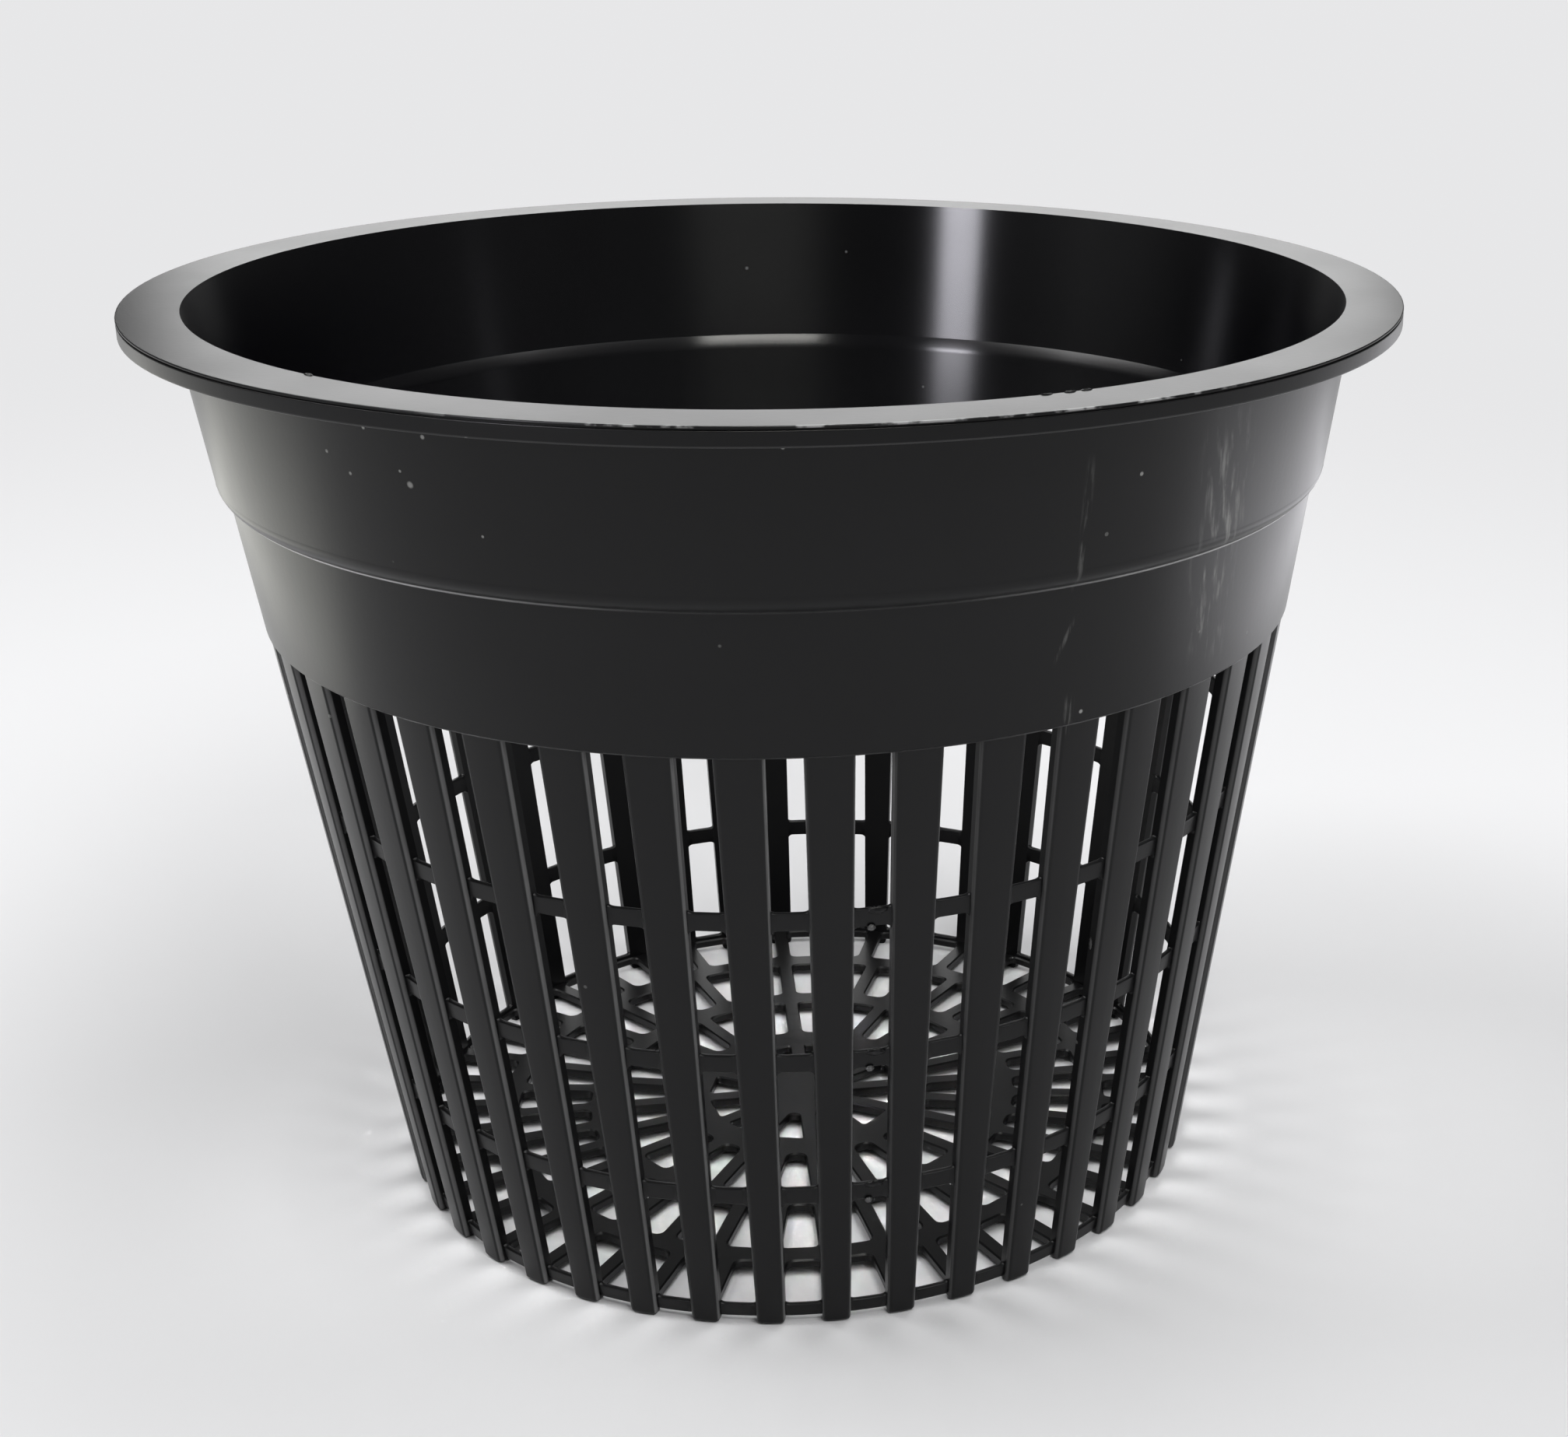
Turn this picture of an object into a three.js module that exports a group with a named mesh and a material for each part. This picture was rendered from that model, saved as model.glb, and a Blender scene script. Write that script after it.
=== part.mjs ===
import * as THREE from 'three';

// Net pot for growing plants in water: a tapered basket with a flat rim, two plain bands, a cage of
// upright slats held by thin hoops, and a flat grid for a floor.
// The real pot is one moulding. Every feature of it that can be named is a mesh of its own here.
// Sizes are millimetres, +Z is up, and the origin is the middle of the base at the level of the feet.
// Angles are counted from the front of the pot, which faces -Y, towards +X.

// Cage wall: the outer faces of the slats lie on this cone
const baseRadius = 51.7;
const wallLean = 0.1447;

// Heights, stacked from the ground up
const footHeight = 0.7;
const slotTopHeight = 75.7;
const lowerBandHeight = 16.4;
const shoulderHeight = 2;
const upperBandHeight = 16.8;
const rimThickness = 2.1;

// Rim, standing out past the upper band
const rimOverhang = 5.9;
const rimEdgeRound = 0.25;
const mouthFlare = 0.35;
const rimRebate = 0.4;

// Bands, each standing a little proud of the cage wall
const bandWall = 1.2;
const upperBandProud = 1.35;
const lowerBandProud = 0.35;
const lowerBandBevel = 0.3;

// Slats and the slots between them
const slatCount = 42;
const slatDepth = 1.6;
const slatEdgeBevel = 0.4;
const slatFootBevel = 0.6;
const slotWidthAtTop = 4.1;
const slotWidthAtBase = 4.4;

// Hoops and base ring, set back behind the outer faces of the slats
const ringRecess = 0.8;
const baseRingHeight = 1.7;
const hoopHeight = 2.2;
const hoopPitch = 18.5;

// Floor grid: a hub and three rings, joined by rows of spokes
const floorThickness = 1.2;
const spokeWidth = 2;
const hubRadius = 6.6;
const hubSpokes = 12;
const innerRing = { radius: 12.8, width: 4, spokes: 24 };
const middleRing = { radius: 26, width: 3, spokes: 36 };
const outerRing = { radius: 38.5, width: 2.9, spokes: slatCount };

// Clearance left where features of the moulding run into each other sideways
const seam = 0.1;

// Facets round the rim and the bands, two for each slat
const bandSides = 2 * slatCount;

// Levels that follow from the stack
const shoulderBottom = slotTopHeight + lowerBandHeight;
const upperBandBottom = shoulderBottom + shoulderHeight;
const rimBottom = upperBandBottom + upperBandHeight;
const rimTop = rimBottom + rimThickness;
const upperBandTop = rimBottom + rimRebate;
const rimRadius = baseRadius + wallLean * rimBottom + upperBandProud + rimOverhang;
const slatPitch = (2 * Math.PI) / slatCount;

const blackPlastic = {
  color: 0x0d0d0e,
  roughness: 0.38,
  metalness: 0,
};

const pot = new THREE.Group();

function addFeature(name, geometry) {
  const mesh = new THREE.Mesh(geometry, new THREE.MeshStandardMaterial(blackPlastic));
  mesh.name = name;
  pot.add(mesh);
  return mesh;
}

// Radius of the cage wall, less a depth measured inwards from it
function wallRadius(height, depth = 0) {
  return baseRadius + wallLean * height - depth;
}

// Spins a closed outline of [radius, height] corners, listed anticlockwise, round +Z.
function spunRing(outline, sides, firstCorner = 0) {
  const corners = outline.map(([radius, height]) => new THREE.Vector2(radius, height));
  corners.push(corners[0].clone());
  const geometry = new THREE.LatheGeometry(corners, sides, firstCorner);
  geometry.rotateX(Math.PI / 2);
  return geometry;
}

// Rim: a flat ring with an eased outer edge, a flared mouth and a rebate below for the band's top

function rimGeometry() {
  const bandTopRadius = wallRadius(upperBandTop) + upperBandProud;
  const rebateRadius = bandTopRadius + seam;
  const mouthRadius = bandTopRadius - bandWall;
  return spunRing(
    [
      [mouthRadius, upperBandTop],
      [rebateRadius, upperBandTop],
      [rebateRadius, rimBottom],
      [rimRadius - rimEdgeRound, rimBottom],
      [rimRadius, rimBottom + rimEdgeRound],
      [rimRadius, rimTop - rimEdgeRound],
      [rimRadius - rimEdgeRound, rimTop],
      [mouthRadius + mouthFlare, rimTop],
    ],
    bandSides,
  );
}

// Bands: upright walls that follow the lean of the cage, with the shoulder stepping between them

function upperBandGeometry() {
  const bottom = wallRadius(upperBandBottom) + upperBandProud;
  const top = wallRadius(upperBandTop) + upperBandProud;
  return spunRing(
    [
      [bottom - bandWall, upperBandBottom],
      [bottom, upperBandBottom],
      [top, upperBandTop],
      [top - bandWall, upperBandTop],
    ],
    bandSides,
  );
}

function shoulderGeometry() {
  const bottom = wallRadius(shoulderBottom) + lowerBandProud;
  const top = wallRadius(upperBandBottom) + upperBandProud;
  return spunRing(
    [
      [bottom - bandWall, shoulderBottom],
      [bottom, shoulderBottom],
      [top, upperBandBottom],
      [top - bandWall, upperBandBottom],
    ],
    bandSides,
  );
}

function lowerBandGeometry() {
  const bottom = wallRadius(slotTopHeight) + lowerBandProud;
  const bevelTop = wallRadius(slotTopHeight + lowerBandBevel) + lowerBandProud;
  const top = wallRadius(shoulderBottom) + lowerBandProud;
  return spunRing(
    [
      [bottom - bandWall, slotTopHeight],
      [bottom - lowerBandBevel, slotTopHeight],
      [bevelTop, slotTopHeight + lowerBandBevel],
      [top, shoulderBottom],
      [top - bandWall, shoulderBottom],
    ],
    bandSides,
  );
}

// Cage rings: the base ring and as many hoops as fit below the bands, one pitch apart

function cageRings() {
  const rings = [{ name: 'base_ring', bottom: footHeight, top: footHeight + baseRingHeight }];
  const hoopCount = Math.floor((slotTopHeight - hoopHeight) / hoopPitch);
  for (let i = 1; i <= hoopCount; i += 1) {
    const middle = i * hoopPitch;
    rings.push({
      name: `hoop_${i}`,
      bottom: middle - hoopHeight / 2,
      top: middle + hoopHeight / 2,
    });
  }
  return rings;
}

// Each ring has one flat facet behind every slat, so its corners lie in the slots.
function cageRingGeometry(ring) {
  const cornerStretch = 1 / Math.cos(slatPitch / 2);
  const outline = [
    [wallRadius(ring.bottom, slatDepth), ring.bottom],
    [wallRadius(ring.bottom, ringRecess), ring.bottom],
    [wallRadius(ring.top, ringRecess), ring.top],
    [wallRadius(ring.top, slatDepth), ring.top],
  ];
  const stretched = outline.map(([radius, height]) => [radius * cornerStretch, height]);
  return spunRing(stretched, slatCount, slatPitch / 2);
}

// Slats: narrow towards the base, eased along both outer edges, notched where the rings pass

function slatHalfWidth(height) {
  const share = height / slotTopHeight;
  const slotWidth = THREE.MathUtils.lerp(slotWidthAtBase, slotWidthAtTop, share);
  return wallRadius(height) * Math.sin(slatPitch / 2) - slotWidth / 2;
}

// Side view of a slat, anticlockwise. Depth runs inwards from the cage wall.
function slatOutline(rings) {
  const outline = [
    { depth: slatDepth, height: 0, bevel: 0 },
    { depth: slatFootBevel, height: 0, bevel: slatEdgeBevel },
    { depth: 0, height: slatFootBevel, bevel: slatEdgeBevel },
    { depth: 0, height: slotTopHeight, bevel: slatEdgeBevel },
    { depth: slatDepth, height: slotTopHeight, bevel: 0 },
  ];
  for (const ring of [...rings].reverse()) {
    const notchTop = ring.top + seam;
    const notchBottom = ring.bottom - seam;
    outline.push(
      { depth: slatDepth, height: notchTop, bevel: 0 },
      { depth: ringRecess - seam, height: notchTop, bevel: 0 },
      { depth: ringRecess - seam, height: notchBottom, bevel: 0 },
      { depth: slatDepth, height: notchBottom, bevel: 0 },
    );
  }
  return outline;
}

// The side view is repeated across the slat: at one edge, inside each bevel, and at the other edge.
function slatGeometry(rings) {
  const outline = slatOutline(rings);
  const layers = [
    { side: 1, atEdge: true },
    { side: 1, atEdge: false },
    { side: -1, atEdge: false },
    { side: -1, atEdge: true },
  ];
  const positions = [];
  for (const layer of layers) {
    for (const corner of outline) {
      const inset = layer.atEdge ? 0 : slatEdgeBevel;
      const across = layer.side * (slatHalfWidth(corner.height) - inset);
      const depth = corner.depth + (layer.atEdge ? corner.bevel : 0);
      positions.push(across, -wallRadius(corner.height, depth), corner.height);
    }
  }

  const size = outline.length;
  const lastLayer = (layers.length - 1) * size;
  const indices = [];
  const flat = outline.map((corner) => {
    return new THREE.Vector2(wallRadius(corner.height, corner.depth), corner.height);
  });
  for (const [a, b, c] of THREE.ShapeUtils.triangulateShape(flat, [])) {
    indices.push(a, c, b);
    indices.push(lastLayer + a, lastLayer + b, lastLayer + c);
  }
  for (let start = 0; start < lastLayer; start += size) {
    for (let i = 0; i < size; i += 1) {
      const here = start + i;
      const next = start + ((i + 1) % size);
      indices.push(here, next, next + size);
      indices.push(here, next + size, here + size);
    }
  }

  const geometry = new THREE.BufferGeometry();
  geometry.setAttribute('position', new THREE.Float32BufferAttribute(positions, 3));
  geometry.setIndex(indices);
  geometry.computeVertexNormals();
  return geometry;
}

// Floor grid: flat plates with spokes that run out to the next ring

// Point at a distance along the direction of an angle, and to the side of it
function gridPoint(along, across, angle) {
  return new THREE.Vector2(
    along * Math.sin(angle) + across * Math.cos(angle),
    across * Math.sin(angle) - along * Math.cos(angle),
  );
}

// A ring ends its spokes on the flat facets of the next ring's opening.
function spokedPlateGeometry(plateRadius, spokes, spokeEnd, openingRadius, openingSides) {
  const spokeAngle = (2 * Math.PI) / spokes;
  const halfSpoke = spokeWidth / 2;
  const spokeStart = Math.sqrt(plateRadius ** 2 - halfSpoke ** 2);
  const outline = [];
  for (let i = 0; i < spokes; i += 1) {
    const angle = i * spokeAngle;
    outline.push(
      gridPoint(spokeStart, -halfSpoke, angle),
      gridPoint(spokeEnd, -halfSpoke, angle),
      gridPoint(spokeEnd, halfSpoke, angle),
      gridPoint(spokeStart, halfSpoke, angle),
    );
  }
  const shape = new THREE.Shape(outline);

  if (openingRadius > 0) {
    const sideAngle = (2 * Math.PI) / openingSides;
    const cornerRadius = openingRadius / Math.cos(sideAngle / 2);
    const opening = [];
    for (let i = 0; i < openingSides; i += 1) {
      opening.push(gridPoint(cornerRadius, 0, (i + 0.5) * sideAngle));
    }
    shape.holes.push(new THREE.Path(opening));
  }

  const geometry = new THREE.ExtrudeGeometry(shape, { depth: floorThickness, bevelEnabled: false });
  geometry.translate(0, 0, footHeight);
  return geometry;
}

// The opening of a ring has two facets for every spoke that ends on it.
function floorRingGeometry(ring, spokeEnd, spokesInside) {
  return spokedPlateGeometry(
    ring.radius + ring.width,
    ring.spokes,
    spokeEnd - seam,
    ring.radius,
    2 * spokesInside,
  );
}

// Assembly

const rings = cageRings();
const floorEdge = wallRadius(footHeight, slatDepth);

addFeature('rim_flange', rimGeometry());
addFeature('upper_band', upperBandGeometry());
addFeature('shoulder', shoulderGeometry());
addFeature('lower_band', lowerBandGeometry());

for (const ring of rings) {
  addFeature(ring.name, cageRingGeometry(ring));
}

for (let i = 0; i < slatCount; i += 1) {
  const number = String(i + 1).padStart(2, '0');
  const slat = addFeature(`slat_${number}`, slatGeometry(rings));
  slat.rotation.z = i * slatPitch;
}

addFeature(
  'floor_hub',
  spokedPlateGeometry(hubRadius, hubSpokes, innerRing.radius - seam, 0, 0),
);
addFeature('floor_ring_inner', floorRingGeometry(innerRing, middleRing.radius, hubSpokes));
addFeature('floor_ring_middle', floorRingGeometry(middleRing, outerRing.radius, innerRing.spokes));
addFeature('floor_ring_outer', floorRingGeometry(outerRing, floorEdge, middleRing.spokes));

export default pot;
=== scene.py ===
# %% [markdown]
# # A net pot in black plastic
#
# This lesson dresses the plain solids of a net pot: the tapered basket that holds a plant over
# water. The real pot is one moulding in black polypropylene. A flat rim lets it hang in a lid, two
# plain bands stiffen its top, and below them 42 upright slats, three hoops and a grid floor let
# roots and water through.
#
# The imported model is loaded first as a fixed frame. It says where every feature belongs, so nothing
# here is placed by eye. Sizes are metres, +Z is up, and the front of the pot faces -Y.

from math import asin, cos, pi, radians, sin, sqrt

import bpy
from mathutils import Matrix, Vector


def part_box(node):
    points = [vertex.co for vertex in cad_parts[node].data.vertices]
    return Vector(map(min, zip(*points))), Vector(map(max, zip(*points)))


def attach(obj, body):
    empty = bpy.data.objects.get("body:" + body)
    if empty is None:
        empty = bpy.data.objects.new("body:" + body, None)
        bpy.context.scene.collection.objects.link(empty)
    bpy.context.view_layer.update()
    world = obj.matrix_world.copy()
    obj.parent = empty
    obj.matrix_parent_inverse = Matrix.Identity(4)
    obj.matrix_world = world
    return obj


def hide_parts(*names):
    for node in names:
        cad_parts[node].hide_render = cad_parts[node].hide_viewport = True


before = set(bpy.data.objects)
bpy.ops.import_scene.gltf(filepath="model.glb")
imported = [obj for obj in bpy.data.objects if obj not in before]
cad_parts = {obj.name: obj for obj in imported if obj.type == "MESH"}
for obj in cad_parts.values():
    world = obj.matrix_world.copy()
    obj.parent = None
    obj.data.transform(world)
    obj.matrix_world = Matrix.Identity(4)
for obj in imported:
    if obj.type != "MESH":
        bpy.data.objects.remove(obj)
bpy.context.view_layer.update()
print("solids in the frame:", len(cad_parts))

# %% [markdown]
# ## Camera
#
# The picture was taken from a little above the rim, close to the pot, with the pot left of the
# middle of a cropped frame. A crop that is off centre shows as a sideways shift of the lens. The
# camera takes half of that shift, so the pot stays in view from its other sides too. It stands
# nearly in front, a few degrees to the left of slat 1.

# %% Camera
camera_turn = radians(-3.36)
camera_distance = 0.28036
camera_height = 0.16142
camera_yaw = radians(7.27)
camera_tilt = radians(20.55)
camera_roll = radians(0.82)
camera_lens = 52.58
camera_shift = -0.18

camera_aside = sin(camera_turn) * camera_distance
camera_ahead = -cos(camera_turn) * camera_distance
camera_place = Vector((camera_aside, camera_ahead, camera_height))
bpy.ops.object.camera_add(location=camera_place)
camera = bpy.context.object
turned_by = Matrix.Rotation(camera_turn - camera_yaw, 3, "Z")
tilted_by = Matrix.Rotation(pi / 2 - camera_tilt, 3, "X")
rolled_by = Matrix.Rotation(camera_roll, 3, "Z")
camera.rotation_euler = (turned_by @ tilted_by @ rolled_by).to_euler()
camera.data.lens = camera_lens
camera.data.sensor_width = 36
camera.data.shift_x = camera_shift
bpy.context.scene.camera = camera
print("camera stands at", [round(value, 3) for value in camera_place])

# %% [markdown]
# ## Sizes of the pot
#
# The frame was drawn from a few driving sizes, and the finished pieces need the same ones. Heights
# that a solid can tell are read from its box. The cone of the cage wall is written once, as a
# function of the height.

# %% Sizes
MM = 0.001
slat_count = 42
slat_pitch = 2 * pi / slat_count
base_radius = 51.7 * MM
wall_lean = 0.1447
slat_depth = 1.6 * MM
ring_recess = 0.8 * MM
band_wall = 1.2 * MM

rim_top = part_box("rim_flange")[1].z
rim_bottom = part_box("rim_flange")[0].z
rim_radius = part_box("rim_flange")[1].x
shoulder_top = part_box("shoulder")[1].z
shoulder_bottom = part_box("shoulder")[0].z
slot_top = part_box("lower_band")[0].z


def wall_radius(height, depth=0.0):
    """Radius of the outer faces of the slats, less a depth measured inwards."""
    return base_radius + wall_lean * height - depth


print("rim", round(2 * rim_radius / MM, 1), "mm across and", round(rim_top / MM, 1), "mm up")

# %% [markdown]
# ## Ways of working
#
# Every piece starts as a primitive of the right size at the right place. It is then shaped in edit
# mode. Two small helpers are enough for that: one leaves a clean selection and makes a piece
# active, and the other selects the corners, edges or faces that pass a test of their place.

# %% Selecting
tiny = 0.01 * MM


def only(piece):
    """Selects one piece and nothing else."""
    if bpy.context.object and bpy.context.object.mode == "EDIT":
        bpy.ops.object.mode_set(mode="OBJECT")
    bpy.ops.object.select_all(action="DESELECT")
    piece.select_set(True)
    bpy.context.view_layer.objects.active = piece


def start(name):
    """Names a primitive that was just added and puts its place in its mesh."""
    piece = bpy.context.object
    piece.name = name
    piece.data.name = name
    only(piece)
    bpy.ops.object.transform_apply(location=True, rotation=True, scale=True)
    return piece


def choose(piece, kind, passes):
    """Selects in edit mode the corners, edges or faces whose corners all pass a test."""
    only(piece)
    mesh = piece.data
    for items in (mesh.vertices, mesh.edges, mesh.polygons):
        items.foreach_set("select", [False] * len(items))
    places = [vertex.co.copy() for vertex in mesh.vertices]
    found = 0
    if kind == "VERT":
        for vertex in mesh.vertices:
            if passes([places[vertex.index]]):
                vertex.select = True
                found += 1
    else:
        for item in mesh.edges if kind == "EDGE" else mesh.polygons:
            if passes([places[index] for index in item.vertices]):
                item.select = True
                found += 1
    bpy.context.tool_settings.mesh_select_mode = [kind == "VERT", kind == "EDGE", kind == "FACE"]
    bpy.ops.object.mode_set(mode="EDIT")
    return found


# %% [markdown]
# Most edges are rounded on purpose, a few stay crisp. Shading is kept smooth across an edge up to
# 40 degrees and sharp above it, and a Weighted Normal modifier keeps the broad faces flat in the
# light, so only the rounded edges catch a highlight.

# %% Shading
sharp_above = radians(40)


def even_shading(piece):
    """Shades a piece smoothly, with its sharp edges kept and its broad faces left flat."""
    only(piece)
    bpy.ops.object.shade_smooth_by_angle(angle=sharp_above)
    bpy.ops.object.modifier_add(type="WEIGHTED_NORMAL")
    weighted = piece.modifiers[-1]
    weighted.keep_sharp = True
    bpy.ops.object.modifier_apply(modifier=weighted.name)


# %% [markdown]
# ## Turned pieces
#
# The rim and the bands are round, so they could be spun from a section. Here they grow from a
# circle instead: its edges are extruded up to the next corner of the section and scaled to the
# radius there, and at the end the last loop is bridged to the first. That keeps an exact number of
# sides, four to each slat, so the rings and the cage turn together.

# %% Turning a piece
ring_sides = 4 * slat_count


def turned(name, section, sides=ring_sides):
    """Makes a closed ring from the corners of its section, each a radius and a height."""
    radius, height = section[0]
    bpy.ops.object.select_all(action="DESELECT")
    bpy.ops.mesh.primitive_circle_add(vertices=sides, radius=radius, location=(0, 0, height))
    piece = start(name)
    choose(piece, "EDGE", lambda corners: True)
    for next_radius, next_height in section[1:]:
        rise = {"value": (0, 0, next_height - height)}
        bpy.ops.mesh.extrude_edges_move(TRANSFORM_OT_translate=rise)
        growth = next_radius / radius
        bpy.ops.transform.resize(value=(growth, growth, 1), center_override=(0, 0, 0))
        radius, height = next_radius, next_height
    bpy.ops.mesh.select_all(action="DESELECT")
    bpy.ops.mesh.select_non_manifold()
    bpy.ops.mesh.bridge_edge_loops()
    bpy.ops.mesh.select_all(action="SELECT")
    bpy.ops.mesh.normals_make_consistent(inside=False)
    bpy.ops.object.mode_set(mode="OBJECT")
    return piece


# %% [markdown]
# ## Rim
#
# The rim is a flat flange 2.1 mm thick that reaches 6 mm past the wall. Its mouth flares a little,
# so a nested pot finds its way in, and its outer edges are only just eased. Close under the top
# edge the mould closed, and its parting line shows as a fine dark groove all the way round. The
# section is drawn with those corners, and the three long outer edges are then bevelled.

# %% Rim
upper_proud = 1.35 * MM
lower_proud = 0.35 * MM
mouth_flare = 0.36 * MM
mouth_radius = wall_radius(rim_bottom) + upper_proud - band_wall
parting_top = rim_top - 0.2 * MM
parting_bottom = rim_top - 0.42 * MM
parting_depth = 0.25 * MM
rim_edge_round = 0.12 * MM

rim = turned(
    "rim_ring",
    [
        (mouth_radius, rim_bottom),
        (rim_radius, rim_bottom),
        (rim_radius, parting_bottom),
        (rim_radius - parting_depth, parting_bottom),
        (rim_radius - parting_depth, parting_top),
        (rim_radius, parting_top),
        (rim_radius, rim_top),
        (mouth_radius + mouth_flare, rim_top),
    ],
)


def rim_edges(corners):
    """Whether an edge runs round the outside of the rim at its top, its bottom or below the groove."""
    along = abs(corners[0].z - corners[1].z) < tiny
    outside = all(c.xy.length > rim_radius - tiny for c in corners)
    return along and outside and abs(corners[0].z - parting_top) > tiny


print("rim edges to round:", choose(rim, "EDGE", rim_edges))
bpy.ops.mesh.bevel(offset=rim_edge_round, segments=3, affect="EDGES")
even_shading(rim)
print("rim has", len(rim.data.polygons), "faces")

# %% [markdown]
# ## Bands and shoulder
#
# Two plain bands run round the pot under the rim. The upper one stands 1 mm further out, and a
# short shoulder steps in between them, which is where a stack of nested pots comes to rest. The
# slope starts softly at the top, steepens on its way down and ends in a crisp crease on the face
# of the lower band. The ledge inside is narrower than the step outside, because the wall above it
# is a little thicker at its foot.

# %% Bands and shoulder
def leaning(height, proud):
    """A corner of a section on the outside of a band."""
    return (wall_radius(height) + proud, height)


def inside(corner):
    """The matching corner on the inner face of the wall."""
    return (corner[0] - band_wall, corner[1])


thickening = 0.4 * MM
ledge_rise = 0.8 * MM
upper_foot = leaning(shoulder_top, upper_proud)
upper_head = leaning(rim_bottom, upper_proud)
ledge_head = (upper_foot[0] - band_wall - thickening, shoulder_top)
upper_band = turned("upper_wall", [ledge_head, upper_foot, upper_head, inside(upper_head)])

slope_power = 2.3
shoulder_foot = leaning(shoulder_bottom, lower_proud)
slope = [shoulder_foot]
for down in (0.9, 0.75, 0.55, 0.35, 0.15, 0.0):
    inwards = down**slope_power
    radius = upper_foot[0] + (shoulder_foot[0] - upper_foot[0]) * inwards
    slope.append((radius, shoulder_top + (shoulder_bottom - shoulder_top) * down))
ledge_foot = inside(leaning(shoulder_bottom + ledge_rise, lower_proud))
shoulder = turned("shoulder_step", [inside(shoulder_foot), *slope, ledge_head, ledge_foot])

lip = 0.3 * MM
lower_band = turned(
    "lower_wall",
    [
        (wall_radius(slot_top) + lower_proud - band_wall, slot_top),
        (wall_radius(slot_top) + lower_proud - lip, slot_top),
        leaning(slot_top + lip, lower_proud),
        shoulder_foot,
        inside(shoulder_foot),
    ],
)

for piece in (upper_band, shoulder, lower_band):
    even_shading(piece)
    print(piece.name, "has", len(piece.data.polygons), "faces")

# %% [markdown]
# ## Slats
#
# A slat is a flat bar that follows the lean of the wall. It is 5.3 mm wide under the band and
# 3.3 mm at the foot, because the slots keep their width while the pot narrows. Its outer edges are
# well rounded and its face swells a little. One bar is shaped at the front of the pot, and the
# other 41 are turned copies, each with its own mesh.

# %% First slat
slot_at_top = 4.1 * MM
slot_at_base = 4.4 * MM
slat_round = 0.55 * MM
slat_swell = 0.1 * MM
overlap = 0.4 * MM
slat_length = slot_top + overlap
slat_at_top = 2 * wall_radius(slot_top) * sin(slat_pitch / 2) - slot_at_top
slat_at_base = 2 * base_radius * sin(slat_pitch / 2) - slot_at_base

bpy.ops.object.select_all(action="DESELECT")
bpy.ops.mesh.primitive_cube_add(
    size=1,
    location=(0, slat_depth / 2 - base_radius, slat_length / 2),
    scale=(slat_at_top, slat_depth, slat_length),
)
first_slat = start("slat_bar_01")
choose(first_slat, "VERT", lambda corners: corners[0].z < tiny)
bpy.ops.transform.resize(value=(slat_at_base / slat_at_top, 1, 1), center_override=(0, 0, 0))
choose(first_slat, "VERT", lambda corners: corners[0].z > slat_length - tiny)
bpy.ops.transform.translate(value=(0, -wall_lean * slat_length, 0))
bpy.ops.mesh.select_all(action="SELECT")
bpy.ops.mesh.bisect(plane_co=(0, 0, 0), plane_no=(1, 0, 0))


def on_face(corner):
    """Whether a corner lies on the outer face of the first slat."""
    return corner.y < -wall_radius(corner.z, slat_depth / 2)


choose(first_slat, "VERT", lambda corners: abs(corners[0].x) < tiny and on_face(corners[0]))
bpy.ops.transform.translate(value=(0, -slat_swell, 0))


def slat_edge(corners):
    """Whether an edge runs down the outer side of the first slat or round its foot."""
    fall = abs(corners[0].z - corners[1].z)
    runs_down = fall > tiny and all(abs(c.x) > tiny and on_face(c) for c in corners)
    round_foot = all(c.z < tiny for c in corners) and any(on_face(c) for c in corners)
    down_middle = all(abs(c.x) < tiny for c in corners)
    return (runs_down or round_foot) and not down_middle


print("edges to round:", choose(first_slat, "EDGE", slat_edge))
bpy.ops.mesh.bevel(offset=slat_round, segments=4, affect="EDGES", clamp_overlap=True)
bpy.ops.mesh.select_all(action="SELECT")
bpy.ops.mesh.normals_make_consistent(inside=False)
even_shading(first_slat)
print("a slat has", len(first_slat.data.polygons), "faces")

# %% The other slats
slats = [first_slat]
for number in range(2, slat_count + 1):
    only(first_slat)
    bpy.ops.object.duplicate()
    copy = bpy.context.object
    copy.name = f"slat_bar_{number:02d}"
    copy.data.name = copy.name
    copy.rotation_euler.z = (number - 1) * slat_pitch
    bpy.ops.object.transform_apply(location=False, rotation=True, scale=False)
    slats.append(copy)
print("slats:", len(slats))

# %% [markdown]
# ## Hoops
#
# The hoops lie behind the faces of the slats, and only show in the slots. Where one runs into a
# slat its height flares out in a small fillet, so every window of the cage has rounded corners.
#
# A section of the hoop is drawn as a plane in the middle of a slot. It is extruded round the pot in
# steps, and scaled in height at each step to follow the fillet, up to the middle of the next slat.
# A Mirror modifier adds the other half, and duplicates spun round the axis close the ring.

# %% Hoops and base ring
window_round = 0.75 * MM
ring_soft = 0.2 * MM
ring_shy = 0.05 * MM
fillet_gaps = [window_round * share for share in (1.0, 0.7, 0.45, 0.25, 0.1, 0.0)]


def slot_width(height):
    """Width of a slot, which narrows a little towards the top."""
    return slot_at_base + (slot_at_top - slot_at_base) * height / slot_top


def fillet_rise(gap):
    """How far a fillet rises above the ring at a gap from the side of a slat."""
    return window_round - sqrt(window_round**2 - (window_round - gap) ** 2)


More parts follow.
